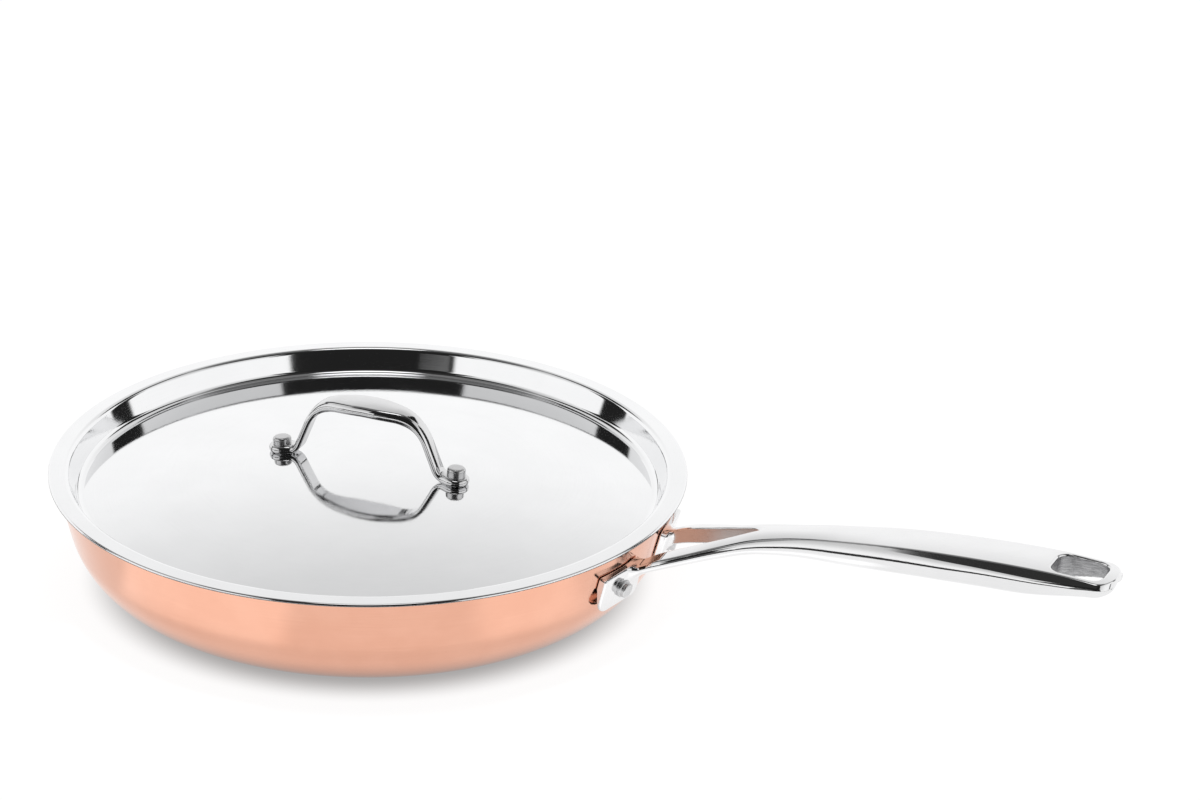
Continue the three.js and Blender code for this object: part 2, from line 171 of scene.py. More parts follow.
# How near a face lies to the slot's or the fork's outline to be one of its walls, and how upright it is
SLOT_NEAR = 0.6
NOTCH_NEAR = 0.25
UPRIGHT = 0.35

# --- meshes --------------------------------------------------------------------------------------


def piece(name, points, faces, normals, body, node, slot, materials, face_slots=None):
    """Makes a mesh from points in millimetres and sets it in the frame in place of a CAD node."""
    mesh = bpy.data.meshes.new(name)
    mesh.from_pydata((np.asarray(points) * MM).tolist(), [], faces)
    for material in materials:
        mesh.materials.append(material)
    mesh.polygons.foreach_set("use_smooth", [True] * len(mesh.polygons))
    if face_slots is not None:
        mesh.polygons.foreach_set("material_index", np.asarray(face_slots, np.int32))
    mesh.update()
    mesh.normals_split_custom_set_from_vertices(np.asarray(normals).tolist())
    made = bpy.data.objects.new(name, mesh)
    bpy.context.scene.collection.objects.link(made)
    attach(made, body)
    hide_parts(node)
    return made


# Turned pieces


def fillet(before, corner, after, radius, step=math.radians(9)):
    """Points and outward normals that round one corner of an outline."""
    a = np.subtract(corner, before)
    b = np.subtract(after, corner)
    la, lb = np.hypot(*a), np.hypot(*b)
    a, b = a / la, b / lb
    normal_a, normal_b = np.array([a[1], -a[0]]), np.array([b[1], -b[0]])
    turn = math.atan2(a[0] * b[1] - a[1] * b[0], float(a @ b))
    if radius <= 0 or abs(turn) < 1e-4:
        middle = normal_a + normal_b
        return [(np.array(corner, float), middle / np.hypot(*middle))]
    reach = radius * math.tan(abs(turn) / 2)
    start = np.array(corner) - a * reach
    centre = start - normal_a * radius * math.copysign(1, turn)
    count = max(2, math.ceil(abs(turn) / step))
    made = []
    for i in range(count + 1):
        angle = turn * i / count
        c, s = math.cos(angle), math.sin(angle)
        normal = np.array([c * normal_a[0] - s * normal_a[1], s * normal_a[0] + c * normal_a[1]])
        made.append((centre + normal * radius * math.copysign(1, turn), normal))
    return made


def outline(corners):
    """An outline of (radius, height, rounding) corners, run so that its faces point outwards."""
    made = []
    for i, (r, z, rounding) in enumerate(corners):
        before = corners[i - 1][:2] if i else (r - 1, z)
        after = corners[i + 1][:2] if i + 1 < len(corners) else (r - 1, z)
        if i == 0:
            step = np.subtract(after, (r, z))
            made.append((np.array([r, z]), np.array([step[1], -step[0]]) / np.hypot(*step)))
        elif i + 1 == len(corners):
            step = np.subtract((r, z), before)
            made.append((np.array([r, z]), np.array([step[1], -step[0]]) / np.hypot(*step)))
        else:
            made.extend(fillet(before, (r, z), after, rounding))
    return made


def turned(line, turns=TURNS, place=None):
    """Turns an outline from axis to axis about Z: points, faces and normals."""
    points, normals, rows = [], [], []
    for (r, z), (nr, nz) in line:
        if r < 1e-6:
            rows.append([len(points)])
            points.append((0.0, 0.0, z))
            normals.append((0.0, 0.0, math.copysign(1, nz)))
            continue
        rows.append(list(range(len(points), len(points) + turns)))
        for k in range(turns):
            a = 2 * math.pi * k / turns
            points.append((r * math.cos(a), r * math.sin(a), z))
            normals.append((nr * math.cos(a), nr * math.sin(a), nz))
    faces = []
    for low, high in zip(rows, rows[1:]):
        for k in range(turns):
            j = (k + 1) % turns
            if len(low) == 1:
                faces.append((low[0], high[j], high[k]))
            elif len(high) == 1:
                faces.append((low[k], low[j], high[0]))
            else:
                faces.append((low[k], low[j], high[j], high[k]))
    points, normals = np.array(points), np.array(normals)
    if place is not None:
        points = points @ place[:3, :3].T + place[:3, 3]
        normals = normals @ place[:3, :3].T
    return points, faces, normals


# Forged pieces, from a field that is negative inside the metal


def along(table):
    """A smooth curve through a table of (x, value) pairs, for arrays of x."""
    xs, ys = np.array(table, float).T
    slopes = np.empty_like(ys)
    slopes[1:-1] = (ys[2:] - ys[:-2]) / (xs[2:] - xs[:-2])
    slopes[0] = (ys[1] - ys[0]) / (xs[1] - xs[0])
    slopes[-1] = (ys[-1] - ys[-2]) / (xs[-1] - xs[-2])

    def read(x):
        i = np.clip(np.searchsorted(xs, x) - 1, 0, len(xs) - 2)
        wide = xs[i + 1] - xs[i]
        t = np.clip((x - xs[i]) / wide, 0, 1)
        first = (2 * t**3 - 3 * t**2 + 1) * ys[i] + (t**3 - 2 * t**2 + t) * wide * slopes[i]
        return first + (3 * t**2 - 2 * t**3) * ys[i + 1] + (t**3 - t**2) * wide * slopes[i + 1]

    return read


def both(a, b, rounding):
    """Inside both fields, with their common edge rounded."""
    reach = np.hypot(np.maximum(a + rounding, 0), np.maximum(b + rounding, 0))
    return np.minimum(np.maximum(a, b), -rounding) + reach


def either(a, b, rounding):
    """Inside one field or the other, with a fillet where they meet."""
    return -both(-a, -b, rounding)


def gradient(field, p, width=0.03):
    """Slope of a field at each point, by small differences."""
    slopes = []
    for axis in range(3):
        side = np.zeros(3)
        side[axis] = width
        slopes.append((field(*(p + side).T) - field(*(p - side).T)) / (2 * width))
    return np.stack(slopes, axis=1)


CORNERS = [(i, j, k) for i in (0, 1) for j in (0, 1) for k in (0, 1)]


def net(field, low, high, step):
    """Surface of a field as quads: one point for each grid cell that the surface crosses."""
    axes = [np.arange(a, b + step, step) for a, b in zip(low, high)]
    value = field(*np.meshgrid(*axes, indexing="ij", sparse=True))
    inside = value < 0
    cells = tuple(n - 1 for n in inside.shape)
    count = np.zeros(cells, np.int8)
    for i, j, k in CORNERS:
        count += inside[i : i + cells[0], j : j + cells[1], k : k + cells[2]]
    mixed = np.argwhere((count > 0) & (count < 8))
    index = np.full(cells, -1, np.int32)
    index[tuple(mixed.T)] = np.arange(len(mixed))
    points = np.array(low) + (mixed + 0.5) * step
    quads = []
    for axis in range(3):
        u, v = (axis + 1) % 3, (axis + 2) % 3
        first = [slice(1, -1)] * 3
        second = [slice(1, -1)] * 3
        first[axis] = slice(0, -1)
        second[axis] = slice(1, None)
        one, two = inside[tuple(first)], inside[tuple(second)]
        at = np.argwhere(one != two)
        leaving = one[tuple(at.T)]
        at = at + 1
        at[:, axis] -= 1
        ring = []
        for du, dv in ((1, 1), (0, 1), (0, 0), (1, 0)):
            cell = at.copy()
            cell[:, u] -= du
            cell[:, v] -= dv
            ring.append(index[tuple(cell.T)])
        ring = np.stack(ring, axis=1)
        ring[~leaving] = ring[~leaving][:, ::-1]
        quads.append(ring)
    return points, np.concatenate(quads)


def settle(field, points, quads, step, passes=3):
    """Evens the net out and lays each point on the surface."""
    ends = np.concatenate([quads[:, [0, 1]], quads[:, [1, 2]], quads[:, [2, 3]], quads[:, [3, 0]]])
    ends = np.concatenate([ends, ends[:, ::-1]])
    near = np.bincount(ends[:, 0], minlength=len(points))
    for _ in range(passes):
        total = np.stack(
            [np.bincount(ends[:, 0], points[ends[:, 1], axis], len(points)) for axis in range(3)], axis=1
        )
        points = points + 0.5 * (total / near[:, None] - points)
        for _ in range(2):
            slope = gradient(field, points)
            length = np.maximum((slope**2).sum(1), 0.05)
            move = -(field(*points.T) / length)[:, None] * slope
            far = np.maximum(np.linalg.norm(move, axis=1) / (0.8 * step), 1)
            points = points + move / far[:, None]
    slope = gradient(field, points)
    return points, slope / np.linalg.norm(slope, axis=1)[:, None]


# --- materials -----------------------------------------------------------------------------------


class Nodes:
    """Short calls to build one node tree."""

    def __init__(self, name):
        self.material = bpy.data.materials.new(name)
        self.material.use_nodes = True
        self.tree = self.material.node_tree
        self.shader = self.tree.nodes["Principled BSDF"]

    def add(self, kind, **values):
        """A new node with the given settings."""
        node = self.tree.nodes.new(kind)
        for key, value in values.items():
            setattr(node, key, value)
        return node

    def feed(self, socket, value):
        """Links an output to a socket, or sets the socket's own value."""
        if isinstance(value, bpy.types.NodeSocket):
            self.tree.links.new(value, socket)
        else:
            socket.default_value = value

    def math(self, operation, a, b=0.0):
        """One step of arithmetic on one or two values."""
        node = self.add("ShaderNodeMath", operation=operation)
        self.feed(node.inputs[0], a)
        self.feed(node.inputs[1], b)
        return node.outputs[0]

    def weigh(self, a, b, share):
        """Mean of two patterns, with the given share of the first."""
        return self.math("ADD", self.math("MULTIPLY", a, share), self.math("MULTIPLY", b, 1 - share))

    def radius(self, x, y):
        """Distance from the pan's axis."""
        return self.math("SQRT", self.math("ADD", self.math("MULTIPLY", x, x), self.math("MULTIPLY", y, y)))

    def degrees(self, angle):
        """An angle in radians, turned into degrees."""
        return self.math("MULTIPLY", angle, 180 / math.pi)

    def ramp(self, value, low, high, to_low=0.0, to_high=1.0):
        """A smooth step from one value to another between two limits."""
        node = self.add("ShaderNodeMapRange", interpolation_type="SMOOTHSTEP")
        names = ("Value", "From Min", "From Max", "To Min", "To Max")
        for name, given in zip(names, (value, low, high, to_low, to_high)):
            self.feed(node.inputs[name], given)
        return node.outputs[0]

    def band(self, value, low, high, soft):
        """One between two limits, with soft borders."""
        rise = self.ramp(value, low - soft, low + soft)
        fall = self.ramp(value, high - soft, high + soft, 1.0, 0.0)
        return self.math("MULTIPLY", rise, fall)

    def noise(self, vector, scale=1.0, detail=2.0, rough=0.5):
        """Cloudy noise from nought to one."""
        node = self.add("ShaderNodeTexNoise")
        self.feed(node.inputs["Vector"], vector)
        node.inputs["Scale"].default_value = scale
        node.inputs["Detail"].default_value = detail
        node.inputs["Roughness"].default_value = rough
        return node.outputs["Fac"]

    def mix(self, share, a, b):
        """A colour between two others."""
        node = self.add("ShaderNodeMix", data_type="RGBA")
        self.feed(node.inputs[0], share)
        self.feed(node.inputs[6], a)
        self.feed(node.inputs[7], b)
        return node.outputs[2]

    def object_point(self):
        """Place on the object in millimetres."""
        coord = self.add("ShaderNodeTexCoord")
        scaled = self.add("ShaderNodeVectorMath", operation="SCALE")
        self.feed(scaled.inputs[0], coord.outputs["Object"])
        scaled.inputs["Scale"].default_value = 1 / MM
        return scaled.outputs[0]

    def parts(self, vector):
        """The three parts of a vector."""
        node = self.add("ShaderNodeSeparateXYZ")
        self.feed(node.inputs[0], vector)
        return node.outputs

    def join(self, x, y, z):
        """A vector, or a colour, from its three parts."""
        node = self.add("ShaderNodeCombineXYZ")
        for socket, value in zip(node.inputs, (x, y, z)):
            self.feed(socket, value)
        return node.outputs[0]

    def bump(self, height, strength, distance):
        """Fine relief on the surface."""
        node = self.add("ShaderNodeBump")
        self.feed(node.inputs["Height"], height)
        node.inputs["Strength"].default_value = strength
        node.inputs["Distance"].default_value = distance
        self.feed(self.shader.inputs["Normal"], node.outputs[0])

    def edges(self, low=0.505, high=0.56):
        """One along convex edges, where handling wears the finish."""
        geometry = self.add("ShaderNodeNewGeometry")
        return self.ramp(geometry.outputs["Pointiness"], low, high)


def ring_streaks(n, tight=7.0, loose=0.05):
    """Fine streaks that run round the pan's axis."""
    x, y, z = n.parts(n.object_point())
    place = n.join(
        n.math("MULTIPLY", n.radius(x, y), tight),
        n.math("MULTIPLY", x, loose),
        n.math("MULTIPLY", n.math("ADD", y, n.math("MULTIPLY", z, tight / loose)), loose),
    )
    return n.noise(place, 1.0, 3.0, 0.6)


def bar_streaks(n, tight=6.0, loose=0.12):
    """Fine streaks that run along X."""
    x, y, z = n.parts(n.object_point())
    place = n.join(
        n.math("MULTIPLY", x, loose), n.math("MULTIPLY", y, tight), n.math("MULTIPLY", z, tight)
    )
    return n.noise(place, 1.0, 3.0, 0.6)


# Scale of the polish's clouds, extra roughness on worn edges, and depths of the relief in metres
CLOUD_SCALE = 0.035
EDGE_WEAR = 0.06
BRUSH_DEPTH = 0.00002
GROOVE_DEPTH = 0.0003


def metal(name, light, dark, streaks, rough, bump_strength, worn=None):
    """A metal with brushing, cloudy polish, slight colour variation and worn edges."""
    n = Nodes(name)
    lines = streaks(n)
    clouds = n.noise(n.object_point(), CLOUD_SCALE, 3.0, 0.55)
    tone = n.ramp(n.weigh(lines, clouds, 0.45), 0.35, 0.65)
    edge = n.edges()
    colour = n.mix(tone, (*dark, 1), (*light, 1))
    colour = n.mix(n.math("MULTIPLY", edge, 0.5), colour, (*(worn or light), 1))
    n.feed(n.shader.inputs["Base Color"], colour)
    polish = n.ramp(n.weigh(lines, clouds, 0.5), 0.3, 0.7, *rough)
    polish = n.math("ADD", polish, n.math("MULTIPLY", edge, EDGE_WEAR))
    n.feed(n.shader.inputs["Roughness"], polish)
    n.shader.inputs["Metallic"].default_value = 1.0
    n.bump(lines, bump_strength, BRUSH_DEPTH)
    return n.material


def ground_slot(name):
    """The ground, unpolished walls of the hanging slot."""
    n = Nodes(name)
    x, y, z = n.parts(n.object_point())
    place = n.join(n.math("MULTIPLY", x, 0.25), n.math("MULTIPLY", y, 0.25), n.math("MULTIPLY", z, 4.2))
    grooves = n.noise(place, 1.0, 5.0, 0.75)
    grit = n.noise(n.object_point(), 3.0, 2.0, 0.6)
    marks = n.weigh(grooves, grit, 0.75)
    colour = n.mix(n.ramp(marks, 0.35, 0.65), (0.2, 0.2, 0.205, 1), (0.62, 0.62, 0.63, 1))
    n.feed(n.shader.inputs["Base Color"], colour)
    n.feed(n.shader.inputs["Roughness"], n.ramp(grit, 0.3, 0.7, 0.28, 0.45))
    n.shader.inputs["Metallic"].default_value = 1.0
    n.bump(marks, 0.55, GROOVE_DEPTH)
    return n.material


def steel(name, light, dark, streaks, rough, bump_strength):
    """A plain steel, between two shades of grey that are faintly blue."""
    shades = [(grey, grey, grey + 0.005) for grey in (light, dark)]
    return metal(name, *shades, streaks, rough, bump_strength)


# Light and dark shade, streaks, roughness from and to, and strength of the relief
lid_metal = metal(
    "polished_lid", (0.865, 0.868, 0.875), (0.835, 0.838, 0.845), ring_streaks, (0.035, 0.075), 0.12
)
strap_metal = steel("polished_lid_handle", 0.72, 0.64, bar_streaks, (0.04, 0.09), 0.12)
handle_metal = steel("polished_handle", 0.83, 0.785, bar_streaks, (0.04, 0.09), 0.1)
rivet_metal = steel("satin_rivet", 0.66, 0.52, ring_streaks, (0.24, 0.34), 0.4)
copper_metal = metal(
    "polished_copper", (0.79, 0.43, 0.31), (0.745, 0.39, 0.275), ring_streaks, (0.09, 0.15), 0.15,
    worn=(0.9, 0.55, 0.42),
)
core_metal = metal("cut_aluminium", (0.4, 0.43, 0.44), (0.3, 0.33, 0.34), ring_streaks, (0.3, 0.4), 0.4)
liner_metal = metal(
    "brushed_liner", (0.74, 0.745, 0.75), (0.64, 0.645, 0.65), ring_streaks, (0.2, 0.3), 0.6
)
disc_metal = steel("dull_disc", 0.2, 0.13, ring_streaks, (0.3, 0.42), 0.6)
slot_metal = ground_slot("ground_slot")
# Satin steel in the fork: real satin roughness, with painted shade and a painted copper reflection in its
# darker, warmer colour
shaded_notch_metal = metal(
    "satin_notch_painted_shade", (0.6, 0.585, 0.575), (0.5, 0.485, 0.475), bar_streaks, (0.24, 0.34), 0.5
)

# --- pan body ------------------------------------------------------------------------------------


def sheet_curve(offset):
    """Corners of the clad sheet's face at a depth below its outside, from the axis to the rim."""
    bend = CORNER_R - offset
    low = DISC_THICK + offset
    start = -math.asin(min(1, (CORNER_R - low) / bend))
    curve = [(0.0, low, 0), (FLAT_R * 0.5, low, 0)]
    for i in range(CORNER_STEPS + 1):
        a = start + (-WALL_LEAN - start) * i / CORNER_STEPS
        curve.append((FLAT_R + bend * math.cos(a), CORNER_R + bend * math.sin(a), 0))
    r, z, _ = curve[-1]
    curve.append((r + (RIM_Z - z) * math.tan(WALL_LEAN), RIM_Z, 0))
    return curve


def layer(outer, inner, outer_edge, inner_edge):
    """One layer of the sheet between two depths, with its rim edges rounded."""
    below, above = sheet_curve(outer), sheet_curve(inner)
    below[-1] = (*below[-1][:2], outer_edge)
    above[-1] = (*above[-1][:2], inner_edge)
    return outline(below + above[::-1])


def build_body():
    """The three layers of the clad sheet, and the disc under the base."""
    first = COPPER + BOND
    second = first + ALUMINIUM + BOND
    copper = layer(0, COPPER, 0.3, 0.03)
    core = layer(first, first + ALUMINIUM, 0.03, 0.03)
    lining = layer(second, WALL, 0.03, 0.2)
    layers = [
        ("copper_body", "copper_shell", "copper", copper_metal, copper),
        ("core_layer", "aluminium_core", "core_aluminium", core_metal, core),
        ("steel_lining", "steel_liner", "liner_steel", liner_metal, lining),
    ]
    for name, node, slot, material, line in layers:
        piece(name, *turned(line), "pan", node, slot, [material])
    disc = outline([
        (0, 0, 0), (DISC_R * 0.5, 0, 0), (DISC_R, 0, 0.4), (DISC_R, DISC_THICK, 0.15),
        (DISC_R * 0.5, DISC_THICK, 0), (0, DISC_THICK, 0),
    ])
    piece("under_disc", *turned(disc), "pan", "base_disc", "disc_steel", [disc_metal])


# --- pan handle ----------------------------------------------------------------------------------

# The handle's section, as tables of X and a size: height of the top's ridge, half width of the top face,
# depth, width of the bevel along the top edges, rounding under the bevel, fall of the top face from its
# ridge to its edges, and how boxy the belly is
handle_top = along([
    (136, 40.8), (150, 47.6), (165, 52.8), (178, 57.0), (191, 61.0), (208, 64.5), (227, 67.4),
    (262, 71.4), (297, 73.6), (327, 74.2), (345, 73.4), (360, 72.0),
])
handle_half = along([
    (136, 24.4), (142, 22.8), (148, 22.2), (154, 21.2), (165, 17.6), (178, 13.2), (191, 10.2), (205, 8.7),
    (218, 8.5), (240, 9.5), (262, 10.6), (297, 11.5), (327, 11.9), (360, 11.9),
])
handle_deep = along([
    (136, 7.4), (150, 7.4), (170, 7.6), (191, 8.2), (210, 9.9), (240, 12.9), (280, 14.4),
    (312, 14.2), (328, 12.2), (345, 8.4), (360, 6.6),
])
handle_bevel = along([
    (136, 0.4), (205, 0.6), (232, 1.1), (255, 2.0), (278, 3.1), (300, 3.8), (324, 4.2), (340, 3.2),
    (350, 1.8), (360, 0.6),
])
handle_roll = along([
    (136, 3.2), (180, 4.2), (205, 6.4), (240, 8.4), (278, 7.0), (300, 5.2), (327, 3.6), (345, 2.8),
    (360, 2.0),
])
handle_crown = along([(136, 2.2), (178, 2.2), (200, 1.7), (225, 1.1), (260, 0.6), (360, 0.5)])
handle_boxy = along([(136, 2.1), (191, 2.1), (240, 2.4), (300, 2.5), (325, 3.0), (360, 3.6)])


def foot_frame(side):
    """Matrix whose origin is on the outer wall, with Z out of the wall and Y up it, in millimetres."""
    angle = side * FOOT_ANGLE
    out = np.array([math.cos(angle), math.sin(angle), 0.0])
    normal = out * math.cos(WALL_LEAN) - np.array([0, 0, math.sin(WALL_LEAN)])
    up = out * math.sin(WALL_LEAN) + np.array([0, 0, math.cos(WALL_LEAN)])
    place = np.eye(4)
    place[:3, 0] = np.cross(up, normal)
    place[:3, 1] = up
    place[:3, 2] = normal
    place[:3, 3] = out * (RIM_R - (RIM_Z - FOOT_MID_Z) * math.tan(WALL_LEAN))
    place[2, 3] = FOOT_MID_Z
    return place


def bar_field(x, y, z):
    """The forged bar: a crowned top with crisp edges, a bevel that widens to the tip and a round belly."""
    half, deep, power = handle_half(x), handle_deep(x), handle_boxy(x)
    crown, top = handle_crown(x), handle_top(x)
    wide = np.abs(y) / half
    slope = (handle_top(x + 0.5) - handle_top(x - 0.5)) ** 2
    lid = (z - top + crown * wide**2) / np.sqrt(1 + slope)
    roll, bevel = handle_roll(x), handle_bevel(x)
    c, s = math.cos(BEVEL_RISE), math.sin(BEVEL_RISE)
    widest = half + bevel * s + roll * (1 - c)
    drop = bevel * c + roll * s
    level = top - crown - drop
    deep = deep - drop
    across = np.abs(y) / widest
    down = np.maximum(level - z, 0) / deep
    sum_of = np.maximum(across**power + down**power, 1e-6)
    reach = sum_of ** (1 / power)
    steep = sum_of ** (1 / power - 1)
    slope_y = steep * across ** (power - 1) / widest
    slope_z = steep * down ** (power - 1) / deep
    belly = (reach - 1) / np.hypot(slope_y, slope_z)
    facet = (np.abs(y) - half) * c + (z - top + crown) * s
    out, up = np.abs(y) - widest + roll, z - level
    flank = np.where(up * c > out * s, facet, np.hypot(np.maximum(out, 0), np.maximum(up, 0)) - roll)
    body = np.where(z > level, flank, belly)
    body = both(body, x - TIP_X + 0 * y, TIP_ROUND)
    return both(lid, body, EDGE_ROUND)


def rounded_box(u, v, half_u, half_v, corner):
    """Distance to a rectangle with round corners, negative inside."""
    du, dv = np.abs(u) - half_u + corner, np.abs(v) - half_v + corner
    return np.hypot(np.maximum(du, 0), np.maximum(dv, 0)) + np.minimum(np.maximum(du, dv), 0) - corner


def foot_field(x, y, z):
    """Both feet at once, by symmetry: a plate on the wall, and the hole through it for the rivet."""
    place = foot_frame(1)
    q = [x - place[0, 3], np.abs(y) - place[1, 3], z - place[2, 3]]
    u, v, w = (sum(place[row, column] * q[row] for row in range(3)) for column in range(3))
    middle = (FOOT_OUT - FOOT_IN) / 2
    corner = np.where(v > 0, FOOT_TOP_CORNER, np.where(u > middle, FOOT_ROUND, FOOT_CORNER))
    half_wide, half_high = (FOOT_OUT + FOOT_IN) / 2, (FOOT_TOP + FOOT_LOW) / 2
    flat = rounded_box(u - middle, v - (FOOT_TOP - FOOT_LOW) / 2, half_wide, half_high, corner)
    plate = both(flat, w - FOOT_THICK, FOOT_EDGE)
    hole = np.hypot(u, v) - SHANK_R
    return plate, hole


def notch_field(x, y):
    """Negative in the wedge between the two prongs."""
    side = np.hypot(y, FORK_BLUNT) - FORK_BLUNT
    return (side - FORK_SLOPE * (CROTCH_X - x)) / math.hypot(1, FORK_SLOPE)


def handle_field(x, y, z):
    """The whole forging: bar, fork, feet and hanging slot, cut off clear of the pan's wall."""
    body = bar_field(x, y, z)
    body = both(body, -notch_field(x, y), ROLLED_EDGE)
    plate, hole = foot_field(x, y, z)
    body = either(body, plate, FOOT_FILLET)
    slot = rounded_box(
        x - (SLOT_X0 + SLOT_X1) / 2, y, (SLOT_X1 - SLOT_X0) / 2, SLOT_HALF, SLOT_CORNER
    )
    body = both(body, -slot + 0 * z, ROLLED_EDGE)
    wall = (np.hypot(x, y) - RIM_R + (RIM_Z - z) * math.tan(WALL_LEAN)) * math.cos(WALL_LEAN)
    body = both(body, FOOT_GAP - wall, 0.5)
    return np.maximum(body, -hole)


def build_pan_handle():
    """The forged handle, with its own finish on the slot's walls, and in the fork a satin finish whose
    darker, warmer colour is painted shade and a painted copper reflection.
    """
    low = [HANDLE_START_X, HANDLE_LOW[1] - 2, HANDLE_LOW[2] - 2]
    high = [TIP_X + 2, HANDLE_HIGH[1] + 2, HANDLE_HIGH[2] + 2]
    points, quads = net(handle_field, low, high, HANDLE_STEP)
    points, normals = settle(handle_field, points, quads, HANDLE_STEP)
    middle = points[quads].mean(1)
    upright = np.abs(normals[quads].mean(1)[:, 2]) < UPRIGHT
    in_slot = (middle[:, 0] > SLOT_X0 - SLOT_NEAR) & (middle[:, 0] < SLOT_X1 + SLOT_NEAR)
    in_slot &= np.abs(middle[:, 1]) < SLOT_HALF + SLOT_NEAR
    at_notch = np.abs(notch_field(middle[:, 0], middle[:, 1])) < NOTCH_NEAR
    kinds = np.where(upright & in_slot, 1, np.where(upright & at_notch, 2, 0))
    piece(
        "forged_handle", points, quads.tolist(), normals, "pan", "pan_handle", "handle_steel",
        [handle_metal, slot_metal, shaded_notch_metal], kinds,
    )


def build_handle_rivets():
    """Each rivet as one turned piece: domed head inside the pan, shank, collar and boss outside."""
    face = FOOT_THICK + HEAD_GAP
    inside = -WALL - LINER_GAP
    top = face + COLLAR_HIGH
    line = outline([
        (0, inside - INNER_HEAD_HIGH, 0),
        (INNER_HEAD_R * 0.42, inside - INNER_HEAD_HIGH * 0.94, 3.0),
        (INNER_HEAD_R * 0.86, inside - INNER_HEAD_HIGH * 0.5, 1.2),
        (INNER_HEAD_R, inside, 0.15),
        (SHANK_R, inside, 0.05),
        (SHANK_R, face, 0.05),
        (COLLAR_R, face, 0.12),
        (COLLAR_R, top, 0.35),
        (BOSS_R + 0.1, top, 0.25),
        (BOSS_R, top + BOSS_HIGH, 0.75),
        (0, top + BOSS_HIGH, 0),
    ])
    for side, name in ((-1, "near"), (1, "far")):
        piece(
            f"rivet_{name}", *turned(line, RIVET_TURNS, foot_frame(side)), "pan", f"handle_rivet_{name}",
            "rivet_steel", [rivet_metal],
        )


# --- lid -----------------------------------------------------------------------------------------


def dome_top(r):
    """Height of the dome's upper face below the lid's top plane."""
    return -LID_GROOVE_DEPTH + LID_DOME_RISE * (1 - (r / LID_DOME_EDGE_R) ** 2)


def build_lid_shell():
    """A pressed sheet: the upper face as an outline, the lower face one sheet's thickness behind it."""
    rings = [LID_DOME_EDGE_R * i / DOME_RINGS for i in range(DOME_RINGS)]
    upper = [(r, dome_top(r), 0) for r in rings]
    upper += [
        (LID_DOME_EDGE_R + LID_GROOVE_WIDE, dome_top(LID_DOME_EDGE_R) - 0.1, LID_GROOVE_ROUND),
        LID_WALL_FOOT,
        LID_WALL_TOP,
        (LID_R, 0.0, LID_EDGE_ROUND),
        (LID_R, -LID_EDGE_DROP, 0),
    ]
    top = outline(upper[::-1])
    lip = []
    r, z = top[0][0]
    for i in range(LIP_STEPS + 1):
        a = math.pi * i / LIP_STEPS
        normal = np.array([-math.cos(a), -math.sin(a)])
        lip.append((np.array([r - LID_SHEET / 2, z]) + normal * LID_SHEET / 2, normal))
    under = [(p - n * LID_SHEET, -n) for p, n in top[::-1]]
    under[0] = (np.array([0.0, under[0][0][1]]), under[0][1])
    line = [(p + np.array([0, LID_TOP_Z]), n) for p, n in under[:-1] + lip[1:-1] + top]
    line[-1] = (np.array([0.0, line[-1][0][1]]), line[-1][1])
    piece("pressed_lid", *turned(line, TURNS + 32), "lid", "lid_shell", "lid_steel", [lid_metal])


def lug_seat_z(x=LUG_X):
    """Height of a lug's underside, which follows the dome's slope."""
    return LID_TOP_Z + dome_top(LUG_X) + LUG_GAP - LUG_SLOPE * (x - LUG_X)


def bend(a, b, c, steps):
    """Points of a quadratic curve from a to c, drawn towards b."""
    t = np.linspace(0, 1, steps + 1)[:, None]
    a, b, c = (np.array(p, float) for p in (a, b, c))
    return (1 - t) ** 2 * a + 2 * t * (1 - t) * b + t**2 * c


def strap_path():
    """Centre line of the strap in the X-Z plane, from the middle of the grip to the right lug."""
    grip = lug_seat_z() + GRIP_HEIGHT + GRIP_THICK / 2
    corner = np.array([GRIP_HALF, grip - GRIP_ARCH])
    knee = np.array([KNEE_X, lug_seat_z(KNEE_X) + LUG_THICK / 2])
    out = knee - corner
    out /= np.hypot(*out)
    bend_in = [GRIP_HALF - GRIP_BEND, grip - 0.4 * GRIP_ARCH]
    bend_out = corner + out * GRIP_BEND
    knee_in = knee - out * KNEE_BEND_IN
    end = [KNEE_X + KNEE_BEND_OUT, lug_seat_z(KNEE_X + KNEE_BEND_OUT) + LUG_THICK / 2]
    last = [LUG_X, lug_seat_z() + LUG_THICK / 2]
    parts = [
        bend([0, grip], [6, grip], bend_in, 16),
        bend(bend_in, corner, bend_out, 64),
        bend(bend_out, (bend_out + knee_in) / 2, knee_in, 4),
        bend(knee_in, knee, end, 48),
        bend(end, (np.array(end) + last) / 2, last, 4),
    ]
    return np.concatenate([parts[0], *(p[1:] for p in parts[1:])])


def smoothstep(x, low, high):
    """Nought below one limit, one above the other, and smooth between them."""
    t = np.clip((x - low) / (high - low), 0, 1)
    return t * t * (3 - 2 * t)


STRAP_PATH = strap_path()


def strap_place(x, z):
    """Signed height above the strap's centre line, and the line's own X at the nearest point."""
    shape = np.broadcast(x, z).shape
    px = np.broadcast_to(x, shape).reshape(-1)
    pz = np.broadcast_to(z, shape).reshape(-1)
    best = np.full(px.shape, 1e9)
    height = np.zeros(px.shape)
    at = np.zeros(px.shape)
    for a, b in zip(STRAP_PATH[:-1], STRAP_PATH[1:]):
        d = b - a
        t = np.clip(((px - a[0]) * d[0] + (pz - a[1]) * d[1]) / (d @ d), 0, 1)
        gx, gz = px - a[0] - t * d[0], pz - a[1] - t * d[1]
        away = gx * gx + gz * gz
        closer = away < best
        best = np.where(closer, away, best)
        height = np.where(closer, np.copysign(np.sqrt(away), gz * d[0] - gx * d[1]), height)
        at = np.where(closer, a[0] + t * d[0], at)
    return height.reshape(shape), at.reshape(shape)


